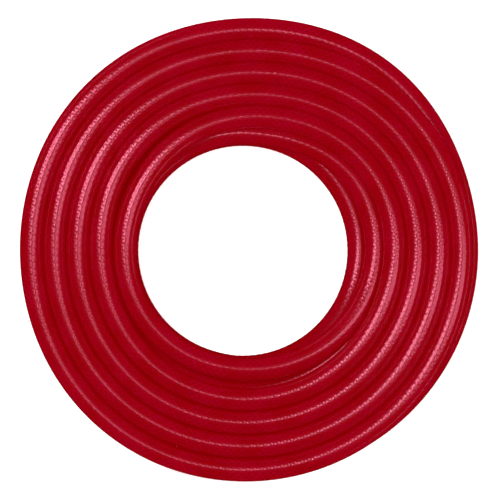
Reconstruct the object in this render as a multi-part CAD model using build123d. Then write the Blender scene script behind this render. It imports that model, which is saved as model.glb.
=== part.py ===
"""A bare coil of braided PVC air hose: 10 m of 8 x 13 mm hose, wound in four levels.

The coil lies flat. Its turns fill one closed solid of the coil's outer shape. Only the last
stretch at each end of the hose leaves the turns, and there the hose is shown as it is made:
a liner tube, a braid of yarn round it and a cover over both, cut off square.

Millimetres, +Z up, origin on the base at the centre of the coil's outline. Compass angles
run clockwise from +Y, seen from above, which is the way that the hose is wound.
"""
from build123d import *
from math import cos, radians, sin
import os

# The hose
BORE_D = 8.0
COVER_D = 13.0
LINER_WALL = 1.2
BRAID_WALL = 0.4

# The coil
LEVELS = 4
COLUMNS = 5
OUTER_TURN_R = 123.3  # centre line of the outermost turns
HOLE_R = 59.6
HOLE_SHIFT = 4.6  # the hole is off centre, towards -X
LEDGE_LEVELS = 2.6  # turns round the hole's roomy side stop at this height

# The ends of the hose, both in the outermost column, one level under the top
END_LEVEL = 2
END_TURN_R = 122.6
END_ARC = 10.0  # degrees that still follow the turn
END_STRAIGHT = 18.0
HEAD_LEAVES_AT = 182.0
TAIL_LEAVES_AT = 268.0
POCKET_GAP = 0.3

HOSE_R = COVER_D / 2
COIL_H = LEVELS * COVER_D
END_Z = (END_LEVEL + 0.5) * COVER_D
LEDGE_TOP = LEDGE_LEVELS * COVER_D
RING_EDGE_R = OUTER_TURN_R - (COLUMNS - 0.5) * COVER_D  # inner edge of the top turns


def on_turn(angle, radius=END_TURN_R, height=END_Z):
    """The point at a compass angle on a level circle about the coil's centre."""
    return Vector(radius * sin(radians(angle)), radius * cos(radians(angle)), height)


def clockwise(angle):
    """The clockwise direction along a turn at a compass angle."""
    return Vector(cos(radians(angle)), -sin(radians(angle)), 0)


def outer_arcs():
    """The outside of the coil in section: one half round for each level."""
    arcs = []
    for level in range(LEVELS):
        low = level * COVER_D
        arcs.append(
            ThreePointArc(
                (OUTER_TURN_R, low),
                (OUTER_TURN_R + HOSE_R, low + HOSE_R),
                (OUTER_TURN_R, low + COVER_D),
            )
        )
    return arcs


def top_arcs():
    """The top of the coil in section, from the outermost turn inwards."""
    crown = COIL_H
    groove = COIL_H - HOSE_R
    edge = OUTER_TURN_R - HOSE_R
    reach = HOSE_R * sin(radians(45))
    arcs = [
        ThreePointArc(
            (OUTER_TURN_R, crown),
            (OUTER_TURN_R - reach, groove + reach),
            (edge, groove),
        )
    ]
    for column in range(1, COLUMNS):
        outside = edge - (column - 1) * COVER_D
        arcs.append(
            ThreePointArc(
                (outside, groove),
                (outside - HOSE_R, crown),
                (outside - COVER_D, groove),
            )
        )
    return arcs


def coil_section():
    """Half of the coil's section, in the XZ plane, from inside the hole outwards."""
    inside = HOLE_R - 2 * HOLE_SHIFT
    ledge = Polyline(
        (RING_EDGE_R, COIL_H - HOSE_R),
        (RING_EDGE_R, LEDGE_TOP),
        (inside, LEDGE_TOP),
        (inside, 0),
        (OUTER_TURN_R, 0),
    )
    outline = Wire([*outer_arcs(), *top_arcs(), *ledge.edges()])
    return Plane.XZ * make_face(outline.edges())


def end_pocket():
    """The room that the two ends of the hose lie in, open to the outside."""
    depth = OUTER_TURN_R + 2 * HOSE_R - (END_TURN_R - HOSE_R - POCKET_GAP)
    height = COVER_D + 2 * POCKET_GAP
    middle = END_TURN_R - HOSE_R - POCKET_GAP + depth / 2
    start = Plane(
        origin=on_turn(HEAD_LEAVES_AT, middle),
        x_dir=on_turn(HEAD_LEAVES_AT, 1, 0),
        z_dir=clockwise(HEAD_LEAVES_AT),
    )
    sweep_angle = TAIL_LEAVES_AT - HEAD_LEAVES_AT
    return revolve(start * Rectangle(depth, height), Axis((0, 0, 0), (0, 0, -1)), sweep_angle)


def make_coil():
    """The closed outer shape of all the turns."""
    ring = revolve(coil_section(), Axis.Z, 360)
    hole = Cylinder(HOLE_R, 3 * COIL_H).moved(Location((-HOLE_SHIFT, 0, 0)))
    return ring - hole - end_pocket()


def make_end(leaves_at, way, outer_r, inner_r):
    """One layer of the hose where it leaves the turns: an arc of the turn, then straight.

    way is 1 where the end points clockwise and -1 where it points back.
    """
    arc_end = leaves_at + way * END_ARC
    ring = Circle(outer_r) - Circle(inner_r)
    start = Plane(origin=on_turn(leaves_at), z_dir=clockwise(leaves_at) * way)
    bend = revolve(start * ring, Axis((0, 0, 0), (0, 0, -way)), END_ARC)
    last = Plane(origin=on_turn(arc_end), z_dir=clockwise(arc_end) * way)
    return bend + extrude(last * ring, END_STRAIGHT)


def hose_layers():
    """The name, outer radius and inner radius of each layer, from the bore out."""
    liner_r = BORE_D / 2 + LINER_WALL
    braid_r = liner_r + BRAID_WALL
    return [
        ("liner", liner_r, BORE_D / 2),
        ("braid", braid_r, liner_r),
        ("cover", HOSE_R, braid_r),
    ]


def make_parts():
    """Every node of the coil, by name."""
    parts = {"hose_coil": make_coil()}
    for name, outer_r, inner_r in hose_layers():
        parts["head_end_" + name] = make_end(HEAD_LEAVES_AT, 1, outer_r, inner_r)
        parts["tail_end_" + name] = make_end(TAIL_LEAVES_AT, -1, outer_r, inner_r)
    return parts


def print_end_mounts():
    """Where each cut end is, and the way out of its bore."""
    for name, leaves_at, way in (("head", HEAD_LEAVES_AT, 1), ("tail", TAIL_LEAVES_AT, -1)):
        arc_end = leaves_at + way * END_ARC
        out = clockwise(arc_end) * way
        mouth = on_turn(arc_end) + out * END_STRAIGHT
        print(name, "mouth", mouth, "out", out)


os.makedirs("parts", exist_ok=True)
for node, solid in make_parts().items():
    export_step(solid, f"parts/{node}.step")
    print(node, "volume", round(solid.volume), "mm3")
print_end_mounts()
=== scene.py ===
"""A bare coil of braided PVC air hose: one hose, wound in four levels round an off-centre hole.

The hose starts at its tail, runs inwards through the third level, outwards through the
second and inwards through the lowest. Then it climbs the hole's wall, opens out over the
top and dives at the outer edge to its head, which lies beside its tail.

Lengths are in metres unless a line says millimetres. Compass angles run clockwise from +Y,
seen from above, which is the way that the hose is wound. A hose angle is a compass angle
that goes on counting, 360 degrees for each turn, from the tail.
"""
import math

import bpy
import numpy as np
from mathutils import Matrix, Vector


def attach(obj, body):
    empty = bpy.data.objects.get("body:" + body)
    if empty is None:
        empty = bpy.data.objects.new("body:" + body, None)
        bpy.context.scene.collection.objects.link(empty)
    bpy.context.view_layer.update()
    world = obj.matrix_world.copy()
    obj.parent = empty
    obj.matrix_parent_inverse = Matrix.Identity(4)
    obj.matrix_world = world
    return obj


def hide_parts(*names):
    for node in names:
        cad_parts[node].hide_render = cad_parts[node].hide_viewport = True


MM = 0.001

# The hose, as in the CAD model
HOSE_D = 13.0 * MM
COVER_R = HOSE_D / 2
BRAID_R = 5.6 * MM
LINER_R = 5.2 * MM
BORE_R = 4.0 * MM

# The coil's levels and columns
COLUMNS = 5
LOW_TURN_R = 122.8 * MM  # outermost column of the three lower levels
LOW_PITCH = 12.9 * MM
FIRST_LEVEL = 2  # the tail and the head lie one level under the top
ROUND_COLUMN = 4.5  # low turns from here outwards are round the coil's centre
SNUG_COLUMN = 2.0  # low turns from here inwards follow the hole
WALL_R = 66.35 * MM  # turns that hug the hole
WALL_SHIFT = 4.64 * MM  # the hole is off centre, towards -X

# Where the low turns change column and level, in degrees past the start of a turn
FIRST_STEP = (-95, 45)  # from column to column on the third level
LOW_STEP = (-75, 85)  # the same on the two levels below
FIRST_DROP = (240, 400)  # from the third level to the second
SECOND_DROP = (100, 280)
MEETS_WALL = (80, 200)  # the lowest level's last turn closes in on the hole
HIGH_TURNS_FROM = 360 * 9 + MEETS_WALL[1]  # the hose angle where the low turns are done

# The climb up the hole's wall, one level a turn in two steps, in degrees past a turn's start
EARLY_CLIMB = (-75, 45)
LATE_CLIMB = (80, 190)
EARLY_CLIMB_SHARE = 0.34

# The top turns, with spans in degrees past the start of the first of them
TOP_STARTS_TURN = 13
TOP_TURNS = 4
TOP_R = 92.83 * MM
TOP_R_AT = 1.25  # turns past the start; the radius here is TOP_R, apart from the wander
TOP_PITCH = 12.75 * MM
SPREAD_MIDDLE = 1.75  # turns past the start; the spread leaves the turn here in its place
SWING = 9.4 * MM  # how far the last turn up the wall swings away from the hole
SWING_OUT = (-360, -294)
SWING_BACK = (-280, -160)
OPENS_OUT = (-100, 5)

# The dive at the outer edge, in degrees past the end of the top turns
DIVE_R = 122.4 * MM
DIVE_OUT = (5, 80)
DIVE_DOWN = (-25, 75)
DIVE_SETTLES = (120, 180)

# The two ends, in the outermost column
END_TURN_R = 122.6 * MM
TAIL_TURNS_AT = 258.0  # degrees; the end of the hose is straight beyond this
HEAD_TURNS_AT = 192.0
END_STRAIGHT = 18.0 * MM

POINTS_A_TURN = 36
STEPS_A_POINT = 16  # of the smooth line, between control points

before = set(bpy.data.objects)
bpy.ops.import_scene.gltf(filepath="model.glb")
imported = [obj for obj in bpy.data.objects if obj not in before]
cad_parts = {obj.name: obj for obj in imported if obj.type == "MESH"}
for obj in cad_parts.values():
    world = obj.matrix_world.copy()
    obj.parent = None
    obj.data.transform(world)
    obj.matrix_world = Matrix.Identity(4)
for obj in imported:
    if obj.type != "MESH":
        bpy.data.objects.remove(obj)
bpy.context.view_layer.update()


def ramp(angle, start, end):
    """0 before start, 1 after end and a smooth change between them."""
    share = min(1.0, max(0.0, (angle - start) / (end - start)))
    return share * share * (3 - 2 * share)


def wave(angle, size, peak, times=1):
    """A ripple of size millimetres, largest at the compass angle peak, times on each turn."""
    return size * MM * math.cos(math.radians(times * (angle - peak)))


def wall_turn_r(angle):
    """Radius of a turn that hugs the hole, whose circle is off the coil's centre."""
    a = math.radians(angle)
    across = WALL_SHIFT * math.cos(a)
    return math.sqrt(WALL_R**2 - across**2) - WALL_SHIFT * math.sin(a)


def low_turn(angle):
    """Radius and level on the three lower levels, which the hose fills to and fro."""
    column = COLUMNS
    for turn in (1, 2, 3):  # inwards, on the third level
        column -= ramp(angle - 360 * turn, *FIRST_STEP)
    for turn in (4, 5, 6):  # outwards, on the second
        column += ramp(angle - 360 * turn, *LOW_STEP)
    for turn in (7, 8, 9):  # inwards, on the lowest
        column -= ramp(angle - 360 * turn, *LOW_STEP)
    level = FIRST_LEVEL
    level -= ramp(angle - 360 * 3, *FIRST_DROP)
    level -= ramp(angle - 360 * 6, *SECOND_DROP)
    radius = LOW_TURN_R - (COLUMNS - column) * LOW_PITCH
    snug = wall_turn_r(angle) + (column - 1) * LOW_PITCH
    radius += (snug - radius) * (1 - ramp(column, SNUG_COLUMN, ROUND_COLUMN))
    radius += (wall_turn_r(angle) - radius) * ramp(angle - 360 * 9, *MEETS_WALL)
    return radius, level


def top_turn_r(past):
    """Radius on the top, where past is the hose angle past the first top turn's start.

    The turns wander: they bulge a little towards the lower right and are not quite round.
    """
    turns = past / 360
    wander = wave(past, size=1.23, peak=141) + wave(past, size=0.48, peak=49, times=2)
    wander += wave(past, size=0.83, peak=70, times=3) + wave(past, size=0.49, peak=51, times=4)
    spread = wave(past, size=0.55, peak=200) * (turns - SPREAD_MIDDLE)
    return TOP_R + TOP_PITCH * (turns - TOP_R_AT) + wander + spread


def high_turn(angle):
    """Radius and level from the hole's wall, over the top and down to the head."""
    level = 0.0
    for turn in (10, 11, 12):
        level += EARLY_CLIMB_SHARE * ramp(angle - 360 * turn, *EARLY_CLIMB)
        level += (1 - EARLY_CLIMB_SHARE) * ramp(angle - 360 * turn, *LATE_CLIMB)
    past = angle - 360 * TOP_STARTS_TURN
    radius = wall_turn_r(angle)
    radius += SWING * ramp(past, *SWING_OUT) * (1 - ramp(past, *SWING_BACK))
    radius += (top_turn_r(past) - radius) * ramp(past, *OPENS_OUT)
    diving = past - 360 * TOP_TURNS
    radius += (DIVE_R - radius) * ramp(diving, *DIVE_OUT)
    radius += (END_TURN_R - radius) * ramp(diving, *DIVE_SETTLES)
    level -= ramp(diving, *DIVE_DOWN)
    return radius, level


def hose_at(angle, stretch=1.0):
    """The point of the hose's centre line at a hose angle, with its radius times stretch."""
    turn = low_turn if angle < HIGH_TURNS_FROM else high_turn
    radius, level = turn(angle)
    a = math.radians(angle)
    return np.array(
        (
            radius * stretch * math.sin(a),
            radius * stretch * math.cos(a),
            (level + 0.5) * HOSE_D,
        )
    )


def straight_end(angle, way):
    """The cut end of the hose, straight on from a hose angle. way is 1 at the head."""
    a = math.radians(angle)
    along = np.array((math.cos(a), -math.sin(a), 0.0)) * way
    return hose_at(angle) + along * END_STRAIGHT


def route_points():
    """Control points of the hose's line, from tail to head.

    The line touches the middle of each run between them, so they stand a little outside.
    """
    first = TAIL_TURNS_AT
    last = 360 * (TOP_STARTS_TURN + TOP_TURNS) + HEAD_TURNS_AT
    runs = round((last - first) / 360 * POINTS_A_TURN)
    step = (last - first) / runs
    stretch = 1 / math.cos(math.radians(step / 2))
    turns = [hose_at(first + (i - 0.5) * step, stretch) for i in range(runs + 2)]
    return [straight_end(first, -1), *turns, straight_end(last, 1)]


def smooth_line(points):
    """Points close together along the NURBS line with these control points."""
    curve = bpy.data.curves.new("hose_line", "CURVE")
    curve.dimensions = "3D"
    curve.resolution_u = STEPS_A_POINT
    spline = curve.splines.new("NURBS")
    spline.points.add(len(points) - 1)
    for control, point in zip(spline.points, points):
        control.co = (*point, 1.0)
    spline.order_u = 3
    spline.use_endpoint_u = True
    holder = bpy.data.objects.new("hose_line", curve)
    mesh = bpy.data.meshes.new_from_object(holder)
    line = np.zeros(len(mesh.vertices) * 3)
    mesh.vertices.foreach_get("co", line)
    bpy.data.objects.remove(holder)
    bpy.data.curves.remove(curve)
    bpy.data.meshes.remove(mesh)
    return line.reshape(-1, 3)


# The camera, straight above, with the picture's top towards +Y
FRAME_WIDTH = 281.4 * MM  # of the picture, at the height TOP_Z
TOP_Z = 45.5 * MM  # the centre lines of the top turns
LENS = 250.0  # mm, as is the sensor
SENSOR = 36.0
CAMERA_X = -0.45 * MM
CAMERA_Y = 0.28 * MM
CLIP_START = 0.01


def make_camera():
    """The camera, and colours without a film look."""
    data = bpy.data.cameras.new("camera")
    data.lens = LENS
    data.sensor_width = SENSOR
    data.clip_start = CLIP_START
    camera = bpy.data.objects.new("camera", data)
    camera.location = (CAMERA_X, CAMERA_Y, TOP_Z + FRAME_WIDTH * LENS / SENSOR)
    bpy.context.scene.collection.objects.link(camera)
    bpy.context.scene.camera = camera
    bpy.context.scene.view_settings.view_transform = "Standard"


# The braid under the cover: yarns that cross in diamonds
BRAID_MAP = "braid"  # UV map that counts diamonds, u along the hose and v round it
BRAID_PITCH = 3.9 * MM  # length of a diamond along the hose
DIAMONDS_ROUND = 10
RINGS_A_DIAMOND = 4
RING_STEP = BRAID_PITCH / RINGS_A_DIAMOND
DIMPLE = 0.11 * MM  # how deep the cover sinks between yarns
COVER_BORE_STEP = 8  # rings of the outside for each ring of the bore
LINER_BORE_STEP = 2
LINER_SIDES = 32
SHARP_ANGLE = 60  # degrees

# The yarns and the liner at each end, further in than one can look
END_SHOWN = 65 * MM
YARN_R = 0.19 * MM
YARN_SIDES = 6
YARN_WEAVE = 0.1 * MM  # how far a yarn goes over and under the others
YARN_TIP = (0.05 * MM, 0.35 * MM)  # least and most that a yarn stands out of the cut
SEED = 20

randomness = np.random.default_rng(SEED)


def evenly(line, spacing):
    """Points, directions and distances at equal steps along a line, near that spacing."""
    runs = np.linalg.norm(np.diff(line, axis=0), axis=1)
    distance = np.concatenate(([0.0], np.cumsum(runs)))
    count = int(round(distance[-1] / spacing)) + 1
    wanted = np.linspace(0.0, distance[-1], count)
    points = np.stack([np.interp(wanted, distance, line[:, i]) for i in range(3)], axis=1)
    ahead = np.gradient(line, distance, axis=0)
    along = np.stack([np.interp(wanted, distance, ahead[:, i]) for i in range(3)], axis=1)
    along /= np.linalg.norm(along, axis=1)[:, None]
    return points, along, wanted


def side_and_up(along):
    """For each direction along the hose, a level one square to it, and one square to both."""
    side = np.cross(along, (0.0, 0.0, 1.0))
    side /= np.linalg.norm(side, axis=1)[:, None]
    return side, np.cross(side, along)


def round_section(points, along, radii):
    """Rings of a tube: radii has one number for each ring and each point on it."""
    side, up = side_and_up(along)
    count = radii.shape[1]
    turn = np.arange(count) * (2 * math.pi / count)
    out = side[:, None, :] * np.cos(turn)[None, :, None]
    out = out + up[:, None, :] * np.sin(turn)[None, :, None]
    return points[:, None, :] + out * radii[:, :, None]


def strip_faces(first, second):
    """Quads between two closed rings of vertex numbers."""
    return np.stack(
        (first, np.roll(first, -1, axis=-1), np.roll(second, -1, axis=-1), second), axis=-1
    ).reshape(-1, 4)


def make_mesh(name, vertices, faces, uv=None):
    """A smooth piece on the coil's one body, with a braid map where uv is given."""
    mesh = bpy.data.meshes.new(name)
    mesh.from_pydata(vertices, [], faces)
    mesh.polygons.foreach_set("use_smooth", np.ones(len(faces), bool))
    if uv is not None:
        layer = mesh.uv_layers.new(name=BRAID_MAP)
        layer.data.foreach_set("uv", uv.astype(np.float32).ravel())
    mesh.set_sharp_from_angle(angle=math.radians(SHARP_ANGLE))
    piece = bpy.data.objects.new(name, mesh)
    bpy.context.scene.collection.objects.link(piece)
    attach(piece, "root")
    return piece


def ring_uv(u, v):
    """UV corners of the quads between rings at u, with steps of v round each ring."""
    step = v[1] - v[0]
    here, there = (np.repeat(ends, len(v)) for ends in (u[:-1], u[1:]))
    low = np.tile(v, len(u) - 1)
    corners = ((here, low), (here, low + step), (there, low + step), (there, low))
    return np.stack([np.stack(corner, axis=-1) for corner in corners], axis=1)


def make_pipe(name, points, along, radii, bore_r, bore_step, uv=None):
    """A closed pipe with a cut face at each end, whose bore has a ring each bore_step rings."""
    count, around = radii.shape
    picked = np.unique(np.append(np.arange(0, count, bore_step), count - 1))
    outside = round_section(points, along, radii)
    bore = round_section(points[picked], along[picked], np.full((len(picked), around), bore_r))
    outer = np.arange(outside.size // 3).reshape(-1, around)
    inner = outer.size + np.arange(bore.size // 3).reshape(-1, around)
    faces = (
        strip_faces(outer[:-1], outer[1:]),
        strip_faces(inner[1:], inner[:-1]),
        strip_faces(inner[:1], outer[:1]),
        strip_faces(outer[-1:], inner[-1:]),
    )
    if uv is not None:
        plain = np.zeros((sum(len(part) for part in faces[1:]), 4, 2))
        uv = np.concatenate((uv, plain))
    vertices = np.concatenate((outside.reshape(-1, 3), bore.reshape(-1, 3)))
    return make_mesh(name, vertices, np.concatenate(faces), uv)


def make_cover(line):
    """The cover of the whole hose, with the braid's dimples, and the line that it follows."""
    points, along, distance = evenly(line, RING_STEP)
    u = distance / BRAID_PITCH
    v = np.arange(DIAMONDS_ROUND * RINGS_A_DIAMOND) / RINGS_A_DIAMOND
    off_left = np.sin(math.pi * (u[:, None] + v[None, :])) ** 2
    off_right = np.sin(math.pi * (u[:, None] - v[None, :])) ** 2
    radii = COVER_R - DIMPLE * off_left * off_right
    uv = ring_uv(u, v)
    cover = make_pipe("hose_cover", points, along, radii, BRAID_R, COVER_BORE_STEP, uv)
    return cover, points, along


def make_liner(name, points, along):
    """The smooth tube inside the braid, at one end of the hose."""
    radii = np.full((len(points), LINER_SIDES), LINER_R)
    return make_pipe(name, points, along, radii, BORE_R, LINER_BORE_STEP)


def yarn_path(points, along, start, way):
    """One yarn of the braid, from the cut end inwards, where it goes over and under."""
    side, up = side_and_up(along)
    distance = np.linalg.norm(np.diff(points, axis=0), axis=1)
    u = np.concatenate(([0.0], np.cumsum(distance))) / BRAID_PITCH
    turn = 2 * math.pi * (start + way * u) / DIAMONDS_ROUND
    middle = (LINER_R + BRAID_R) / 2
    radius = middle + way * YARN_WEAVE * np.cos(2 * math.pi * u)
    return points + (side * np.cos(turn)[:, None] + up * np.sin(turn)[:, None]) * radius[:, None]


def make_yarns(name, points, along):
    """All yarns of the braid at one end of the hose, each with its tip out of the cut."""
    vertices, faces = [], []
    for way in (1, -1):
        for start in range(DIAMONDS_ROUND):
            path = yarn_path(points, along, start, way)
            path[0] -= along[0] * randomness.uniform(*YARN_TIP)
            forward = np.gradient(path, axis=0)
            forward /= np.linalg.norm(forward, axis=1)[:, None]
            rings = round_section(path, forward, np.full((len(path), YARN_SIDES), YARN_R))
            numbers = len(vertices) * YARN_SIDES + np.arange(rings.size // 3)
            numbers = numbers.reshape(-1, YARN_SIDES)
            vertices.extend(rings)
            faces.extend(strip_faces(numbers[:-1], numbers[1:]).tolist())
            faces.append(numbers[0].tolist())
            faces.append(numbers[-1][::-1].tolist())
    return make_mesh(name, np.concatenate(vertices), faces)


def new_material(name):
    """A material with just a principled shader, and its node tree and that shader."""
    material = bpy.data.materials.new(name)
    material.use_nodes = True
    return material, material.node_tree, material.node_tree.nodes["Principled BSDF"]


def calculate(tree, operation, *values):
    """The result of a math node."""
    made = tree.nodes.new("ShaderNodeMath")
    made.operation = operation
    for socket, value in zip(made.inputs, values):
        if isinstance(value, bpy.types.NodeSocket):
            tree.links.new(value, socket)
        else:
            socket.default_value = value
    return made.outputs[0]


def between(tree, value, low, high, low_result=0.0, high_result=1.0):
    """A smooth change from one result to another as value goes from low to high."""
    made = tree.nodes.new("ShaderNodeMapRange")
    made.interpolation_type = "SMOOTHSTEP"
    tree.links.new(value, made.inputs["Value"])
    made.inputs["From Min"].default_value = low
    made.inputs["From Max"].default_value = high
    made.inputs["To Min"].default_value = low_result
    made.inputs["To Max"].default_value = high_result
    return made.outputs["Result"]


def blended(tree, share, low, high):
    """A colour between two, by share."""
    made = tree.nodes.new("ShaderNodeMix")
    made.data_type = "RGBA"
    tree.links.new(share, made.inputs["Factor"])
    for name, colour in (("A", low), ("B", high)):
        socket = next(i for i in made.inputs if i.name == name and i.type == "RGBA")
        socket.default_value = (*colour, 1.0)
    return next(o for o in made.outputs if o.type == "RGBA")


def noise(tree, scale, detail=2.0):
    """Noise in the object's own space, with scale in cells a metre."""
    place = tree.nodes.new("ShaderNodeTexCoord")
    made = tree.nodes.new("ShaderNodeTexNoise")
    tree.links.new(place.outputs["Object"], made.inputs["Vector"])
    made.inputs["Scale"].default_value = scale
    made.inputs["Detail"].default_value = detail
    return made.outputs["Fac"]


def raised(tree, height, distance, normal=None):
    """The normal of a bump that is distance high where height is 1, on top of normal."""
    made = tree.nodes.new("ShaderNodeBump")
    made.inputs["Distance"].default_value = distance
    tree.links.new(height, made.inputs["Height"])
    if normal is not None:
        tree.links.new(normal, made.inputs["Normal"])
    return made.outputs["Normal"]


def yarn_ridges(tree):
    """1 on the yarns under the cover and 0 in the middle of each diamond."""
    braid = tree.nodes.new("ShaderNodeUVMap")
    braid.uv_map = BRAID_MAP
    split = tree.nodes.new("ShaderNodeSeparateXYZ")
    tree.links.new(braid.outputs["UV"], split.inputs["Vector"])
    u, v = split.outputs["X"], split.outputs["Y"]
    ridges = []
    for lean in ("ADD", "SUBTRACT"):
        off_yarn = calculate(tree, "PINGPONG", calculate(tree, lean, u, v), 0.5)
        ridges.append(between(tree, off_yarn, 0.0, 0.5, low_result=1.0, high_result=0.0))
    return calculate(tree, "MAXIMUM", *ridges)


# The materials: their colours, how light spreads in them and the height of their bumps
GAP_RED = (0.115, 0.0001, 0.0004)
YARN_RED = (0.166, 0.0003, 0.0115)
LINER_RED = (0.32, 0.002, 0.012)
LINER_CLOUD = (0.42, 0.008, 0.030)
YARN_WHITE = (0.80, 0.74, 0.72)
YARN_STAIN = (0.68, 0.36, 0.38)
RED_SCATTER = (1.0, 0.08, 0.12)  # red light goes furthest inside the PVC
YARN_RELIEF = 0.06 * MM
PVC_GRAIN = 0.02 * MM
FIBRE_GRAIN = 0.03 * MM


def set_red_pvc(shader, roughness, depth, gloss, painted_glow):
    """How red PVC takes light, which spreads inside it by depth; the glow is painted light, an
    even red emission that lifts the shade in grooves and hollows.
    """
    shader.inputs["Roughness"].default_value = roughness
    shader.inputs["Subsurface Weight"].default_value = 1.0
    shader.inputs["Subsurface Radius"].default_value = RED_SCATTER
    shader.inputs["Subsurface Scale"].default_value = depth
    shader.inputs["Specular Tint"].default_value = (*gloss, 1.0)
    shader.inputs["Emission Color"].default_value = (*painted_glow, 1.0)
    shader.inputs["Emission Strength"].default_value = 1.0


def pvc_cover():
    """Glossy translucent red PVC, with the yarns of the braid showing through."""
    material, tree, shader = new_material("pvc_cover")
    ridges = yarn_ridges(tree)
    cloud = between(tree, noise(tree, scale=60), 0.35, 0.65, low_result=0.45)
    share = calculate(tree, "MULTIPLY", ridges, cloud)
    tree.links.new(blended(tree, share, GAP_RED, YARN_RED), shader.inputs["Base Color"])
    pressed = raised(tree, ridges, YARN_RELIEF)
    grainy = raised(tree, noise(tree, scale=1500), PVC_GRAIN, pressed)
    tree.links.new(grainy, shader.inputs["Normal"])
    # The glow is painted light: an even red emission that lifts the shade in the grooves between
    # turns, standing in for light carried through the PVC.
    set_red_pvc(
        shader, roughness=0.19, depth=4 * MM, gloss=(1.0, 0.29, 0.45), painted_glow=(0.145, 0.0, 0.0)
    )
    return material


def pvc_liner():
    """Smooth, soft, slightly cloudy red PVC."""
    material, tree, shader = new_material("pvc_liner")
    colour = blended(tree, noise(tree, scale=300, detail=4.0), LINER_RED, LINER_CLOUD)
    tree.links.new(colour, shader.inputs["Base Color"])
    grainy = raised(tree, noise(tree, scale=2500), PVC_GRAIN)
    tree.links.new(grainy, shader.inputs["Normal"])
    # The glow is painted light: an even red emission that brightens the liner in the shaded pocket
    # of the cut end.
    set_red_pvc(
        shader, roughness=0.42, depth=2 * MM, gloss=(1.0, 0.45, 0.55), painted_glow=(0.08, 0.0, 0.0005)
    )
    return material


def yarn_braid():
    """White polyester yarn, stained pink where it sits in the red PVC."""
    material, tree, shader = new_material("yarn_braid")
    stain = between(tree, noise(tree, scale=900, detail=3.0), 0.3, 0.7)
    colour = blended(tree, stain, YARN_WHITE, YARN_STAIN)
    tree.links.new(colour, shader.inputs["Base Color"])
    fibrous = raised(tree, noise(tree, scale=9000), FIBRE_GRAIN)
    tree.links.new(fibrous, shader.inputs["Normal"])
    shader.inputs["Roughness"].default_value = 0.7
    shader.inputs["Sheen Weight"].default_value = 0.3
    return material


# The floor, which curves up all round, as in a photographer's cove
FLOOR_FLAT_R = 6.0
FLOOR_BEND_R = 1.0
FLOOR_SIDES = 96
BEND_STEPS = 12
FLOOR_WHITE = (0.9, 0.9, 0.9, 1)
FLOOR_ROUGHNESS = 0.9
WHITE = (1, 1, 1, 1)
FLOOR_GLOW = 0.5  # keeps the floor white in the soft shadows
WORLD_LIGHT = 0.6


def floor_profile():
    """Radius and height of the cove's section, from the middle outwards."""
    bend = [math.radians(90 * i / BEND_STEPS) for i in range(BEND_STEPS + 1)]
    return [
        (FLOOR_FLAT_R + FLOOR_BEND_R * math.sin(a), FLOOR_BEND_R * (1 - math.cos(a))) for a in bend
    ]


def make_floor():
    """A white cove, which doesn't show in the gloss."""
    turn = np.arange(FLOOR_SIDES) * (2 * math.pi / FLOOR_SIDES)
    rings = [
        np.stack((r * np.cos(turn), r * np.sin(turn), np.full(FLOOR_SIDES, z)), axis=1)
        for r, z in floor_profile()
    ]
    numbers = np.arange(len(rings) * FLOOR_SIDES).reshape(-1, FLOOR_SIDES)
    faces = [numbers[0].tolist(), *strip_faces(numbers[1:], numbers[:-1]).tolist()]
    mesh = bpy.data.meshes.new("floor")
    mesh.from_pydata(np.concatenate(rings), [], faces)
    floor = bpy.data.objects.new("floor", mesh)
    bpy.context.scene.collection.objects.link(floor)
    floor.visible_glossy = False
    material, _, shader = new_material("floor")
    shader.inputs["Base Color"].default_value = FLOOR_WHITE
    shader.inputs["Roughness"].default_value = FLOOR_ROUGHNESS
    shader.inputs["Specular IOR Level"].default_value = 0.0
    shader.inputs["Emission Color"].default_value = WHITE
    shader.inputs["Emission Strength"].default_value = FLOOR_GLOW
    mesh.materials.append(material)


def make_world():
    """Even white light from all round, which doesn't show in the gloss."""
    world = bpy.data.worlds.new("world")
    bpy.context.scene.world = world
    world.use_nodes = True
    background = world.node_tree.nodes["Background"]
    background.inputs["Color"].default_value = WHITE
    background.inputs["Strength"].default_value = WORLD_LIGHT
    world.cycles_visibility.glossy = False


def softbox(name, place, size, power):
    """A rectangular area light, in watts, that faces the middle of the coil."""
    data = bpy.data.lights.new(name, "AREA")
    data.shape = "RECTANGLE"
    data.size, data.size_y = size
    data.energy = power
    lamp = bpy.data.objects.new(name, data)
    lamp.location = place
    lamp.rotation_euler = (-Vector(place)).to_track_quat("-Z", "Y").to_euler()
    bpy.context.scene.collection.objects.link(lamp)


def make_lights():
    """Two lights overhead, for the gloss on the top turns, and two low ones for the sides."""
    softbox("left_softbox", place=(-0.40, 0.20, 1.2), size=(0.15, 0.75), power=11)
    softbox("right_softbox", place=(0.50, -0.10, 1.2), size=(0.28, 0.80), power=6.2)
    softbox("low_strip", place=(1.3, -0.5, 0.26), size=(2.2, 0.10), power=2.8)
    softbox("back_strip", place=(-1.1, 1.1, 0.20), size=(1.6, 0.10), power=1.2)


def make_end(end, points, along, liner_material, yarn_material):
    """The liner and the yarns at one end of the hose, from its cut inwards."""
    liner = make_liner(end + "_liner", points, along)
    liner.data.materials.append(liner_material)
    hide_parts(end + "_end_liner")
    yarns = make_yarns(end + "_yarns", points, along)
    yarns.data.materials.append(yarn_material)
    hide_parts(end + "_end_braid")
    return [liner, yarns]


def make_hose():
    """The cover from end to end and what it holds at its ends."""
    cover, points, along = make_cover(smooth_line(route_points()))
    cover.data.materials.append(pvc_cover())
    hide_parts("hose_coil", "tail_end_cover", "head_end_cover")
    shown = int(END_SHOWN / RING_STEP)
    materials = pvc_liner(), yarn_braid()
    inside = make_end("tail", points[:shown], along[:shown], *materials)
    inside += make_end("head", points[-shown:][::-1], -along[-shown:][::-1], *materials)


make_camera()
make_hose()
make_floor()
make_world()
make_lights()
